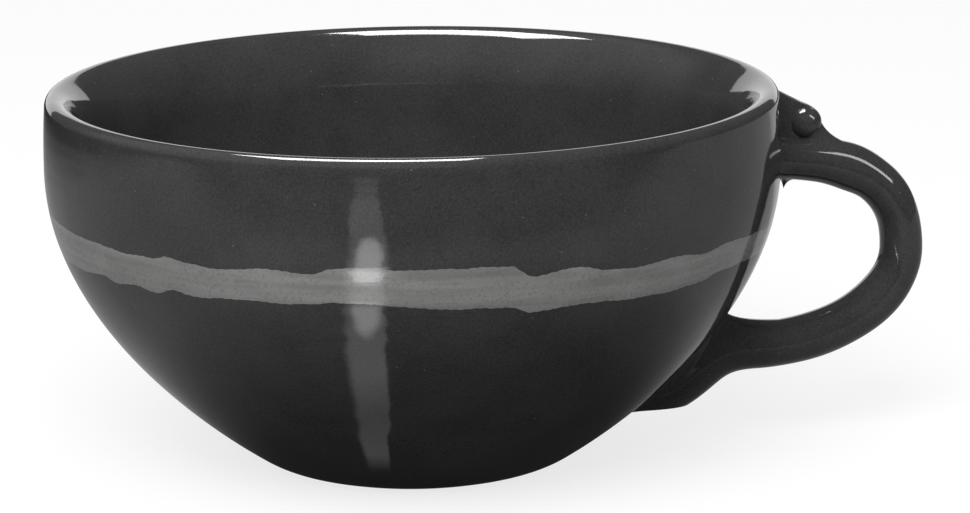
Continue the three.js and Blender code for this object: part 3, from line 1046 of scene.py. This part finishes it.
def card_glow(name):
    """Light of the card in front of the cup: a faint ragged wedge with a bright round-ended patch inside."""
    finish = new_finish(name)
    x, y, _ = finish.axes(finish.place())
    reach = off_axis(x, y)
    down = reach.maths("LOGARITHM", reach, exp(1))
    ragged = finish.noise(finish.node("ShaderNodeCombineXYZ", {}, {"X": down * 7}), 1.0, 4.0) - 0.5
    aside = degrees_round(x, y) - CARD_TURN
    aside = aside + reach.ramp(120, 260) * 1.7 + reach.ramp(31, 21) * 1.2 + ragged * 3.8
    half = reach.ramp(50, 150) * 0.2 - reach.ramp(210, 400) * 1.3 - reach.ramp(30, 19) * 0.9 + 4.6
    across = aside / half
    wedge = across.ramp(1.12, 0.88) * (across * -1).ramp(1.3, 0.7)
    wedge = wedge * reach.ramp(570, 280) * (reach.ramp(28, 41) * 0.65 + 0.32 * reach.ramp(19, 23))
    inner = (aside - 0.2 - ragged * 2.2) / 3.35
    past = reach.maths("MAXIMUM", reach - 112, 0) / 66
    under = reach.maths("MAXIMUM", 62 - reach, 0) / 11.5
    patch = (inner * inner + past * past + under * under).ramp(1.6, 0.3) * (reach.ramp(65, 105) * 1.3 + 2.6)
    patch = patch * (1 - reach.ramp(84, 78) * reach.ramp(61, 67) * 0.72)
    low = (101 - reach) / 21
    wide = aside / 5.1
    lens = (wide * wide + low * low).ramp(1.2, 0.8) * reach.ramp(102, 100)
    return finish.glow(wedge + patch + lens * 3.6, clear=True)


def floor_cloth(name):
    """Cloth on the floor as the gloss shows it, dark in front of the cup, with a painted shadow of the cup
    under it.
    """
    level = bpy.context.scene.cup_studio.floor_flag
    finish = new_finish(name)
    x, y, _ = finish.axes(finish.place())
    # Painted shadow: the cloth darkens round the cup's foot, and further out towards the front, as the cup's
    # shadow on the floor would show in the gloss.
    radius = off_axis(x, y) + y * 0.6 - x * 0.1
    pale = radius.ramp(14, 52) * y.ramp(-190, -80) * (y - x * 0.5).ramp(300, 160)
    pale = pale * (1 + (y - x * 0.9).ramp(-10, 15) * x.ramp(10, 35) * 0.7)
    return finish.glow(pale * level + 0.02)


def tent_cloth(name):
    """Even dim cloth, a share of white."""
    level = bpy.context.scene.cup_studio.tent
    return new_finish(name).glow((level, level, level, 1.0))


def high_cloth(name):
    """Paler cloth over the horizon on the left and in front, which shows in the bowl and its lip."""
    level = bpy.context.scene.cup_studio.high_cloth
    finish = new_finish(name)
    x, y, z = finish.axes(finish.place())
    reach = TENT_RADIUS / MM
    pale = z.ramp(0, 0.5 * reach) * y.ramp(0.75 * reach, 0.45 * reach) * x.ramp(0.35 * reach, 0)
    return finish.glow(pale * level, clear=True)


def dome(radius):
    """Half a sphere over the cup."""
    return turned(arc_points(Vector((0, 0)), radius, 0, pi / 2, DOME_STEPS), DOME_SIDES)


def add_stage(bm, name, make_finish):
    """Makes a finished mesh a part of the studio."""
    obj = to_object(bm, name)
    obj.data.materials.append(make_finish(make_finish.__name__))
    return obj


def add_reflected(bm, name, make_finish):
    """Makes a finished mesh a part of the studio that shows in glossy surfaces alone."""
    obj = add_stage(bm, name, make_finish)
    for rays in ("camera", "diffuse", "transmission", "shadow"):
        setattr(obj, "visible_" + rays, False)
    return obj


def link_light(obj, pieces):
    """Lets a lamp or a glowing cloth show on some of the pieces alone."""
    group = bpy.data.collections.new(obj.name)
    for piece in pieces:
        group.objects.link(bpy.data.objects[piece])
    obj.light_linking.receiver_collection = group


def softbox(name, shape, place, along, size, radiance, lights, linked):
    """A softbox turned to the cup. It either lights the surfaces or only shows in their gloss, and it can be
    linked to some of the pieces alone."""
    facing = (place - Vector((0, 0, LIT_HEIGHT))).normalized()
    side = (along - along.project(facing)).normalized()
    data = bpy.data.lights.new(name, "AREA")
    data.shape = shape
    data.size, data.size_y = size
    data.energy = radiance * pi * size[0] * size[1]
    obj = bpy.data.objects.new(name, data)
    turn = Matrix((side, facing.cross(side), facing)).transposed().to_4x4()
    obj.matrix_world = Matrix.Translation(place) @ turn
    obj.visible_camera = False
    obj.visible_diffuse = lights
    obj.visible_glossy = not lights
    bpy.context.scene.collection.objects.link(obj)
    if linked:
        link_light(obj, linked)


class CUP_OT_stage(Operator):
    """Set up the floor, the light and the camera"""

    bl_idname = "cup.stage"
    bl_label = "Studio"

    def execute(self, context):
        studio = context.scene.cup_studio
        context.scene.view_settings.view_transform = "Standard"
        white_surroundings(studio.ambient)
        self.floor()
        self.card()
        self.cloths()
        heading = Matrix.Rotation(studio.azimuth, 3, "Z")
        for name, shape, place, along, *rest in SOFTBOXES:
            softbox(name, shape, heading @ Vector(place), heading @ Vector(along), *rest)
        self.camera(context.scene, studio)
        return {"FINISHED"}

    def floor(self):
        bm = bmesh.new()
        bmesh.ops.create_grid(bm, x_segments=1, y_segments=1, size=FLOOR_HALF)
        bmesh.ops.translate(bm, verts=bm.verts, vec=(0, 0, FLOOR_HEIGHT))
        add_stage(bm, "floor", floor_paint)

    def card(self):
        """A glowing card on the floor in front of the cup, which only shows as the streak on its wall."""
        def place(u, v):
            angle = radians(CARD_TURN + CARD_SPREAD * (u - 0.5))
            return round_axis(Vector((CARD_START + CARD_LENGTH * v, CARD_HEIGHT)), angle)

        add_reflected(wrapped(8, 16, place), "light_card", card_glow)

    def cloths(self):
        """Dim cloth on the floor and in a tent, which keeps the gloss deep, and a paler one high up."""
        bm = bmesh.new()
        bmesh.ops.create_circle(bm, segments=CIRCLE_SIDES, radius=TENT_RADIUS, cap_ends=True)
        bmesh.ops.translate(bm, verts=bm.verts, vec=(0, 0, CLOTH_HEIGHT))
        add_reflected(bm, "floor_flag", floor_cloth)
        add_reflected(dome(TENT_RADIUS), "tent", tent_cloth)
        high = add_reflected(dome(TENT_RADIUS * HIGH_CLOTH_SHARE), "high_cloth", high_cloth)
        link_light(high, ("thrown_bowl",))

    def camera(self, scene, studio):
        """The camera looks past the axis, so that the handle is in the picture too."""
        right = Vector((cos(studio.azimuth), sin(studio.azimuth), 0))
        front = Vector((sin(studio.azimuth), -cos(studio.azimuth), 0))
        up = Vector((0, 0, 1))
        away = front * cos(studio.elevation) + up * sin(studio.elevation)
        data = bpy.data.cameras.new("camera")
        data.lens = studio.lens
        data.clip_start = 0.01
        obj = bpy.data.objects.new("camera", data)
        obj.location = up * studio.turn_height + away * studio.distance
        look = up * studio.aim_height + right * studio.aim_right - obj.location
        turn = look.to_track_quat("-Z", "Y").to_matrix().to_4x4() @ Matrix.Rotation(studio.roll, 4, "Z")
        obj.rotation_euler = turn.to_euler()
        scene.collection.objects.link(obj)
        scene.camera = obj


MAKING_ORDER = (CUP_OT_bowl, CUP_OT_foot, CUP_OT_slip_band, CUP_OT_handle, CUP_OT_thumb_bead,
                CUP_OT_slip_seams, CUP_OT_stage)


class CUP_PT_making(Panel):
    """Buttons that make the cup and its studio"""

    bl_label = "Espresso Cup"
    bl_idname = "CUP_PT_making"
    bl_space_type = "VIEW_3D"
    bl_region_type = "UI"
    bl_category = "Cup"

    def draw(self, context):
        for operator in MAKING_ORDER:
            self.layout.operator(operator.bl_idname)
        for group, cls in SETTINGS.items():
            box = self.layout.box()
            for name in cls.__annotations__:
                box.prop(getattr(context.scene, group), name)


CLASSES = (*SETTINGS.values(), *MAKING_ORDER, CUP_PT_making)


def register():
    for cls in CLASSES:
        bpy.utils.register_class(cls)
    for name, cls in SETTINGS.items():
        setattr(bpy.types.Scene, name, PointerProperty(type=cls))


def unregister():
    for name in SETTINGS:
        delattr(bpy.types.Scene, name)
    for cls in reversed(CLASSES):
        bpy.utils.unregister_class(cls)


def main():
    register()
    bpy.ops.cup.bowl()
    bpy.ops.cup.foot()
    bpy.ops.cup.slip_band()
    bpy.ops.cup.handle()
    bpy.ops.cup.thumb_bead()
    bpy.ops.cup.slip_seams()
    bpy.ops.cup.stage()


if __name__ == "__main__":
    main()
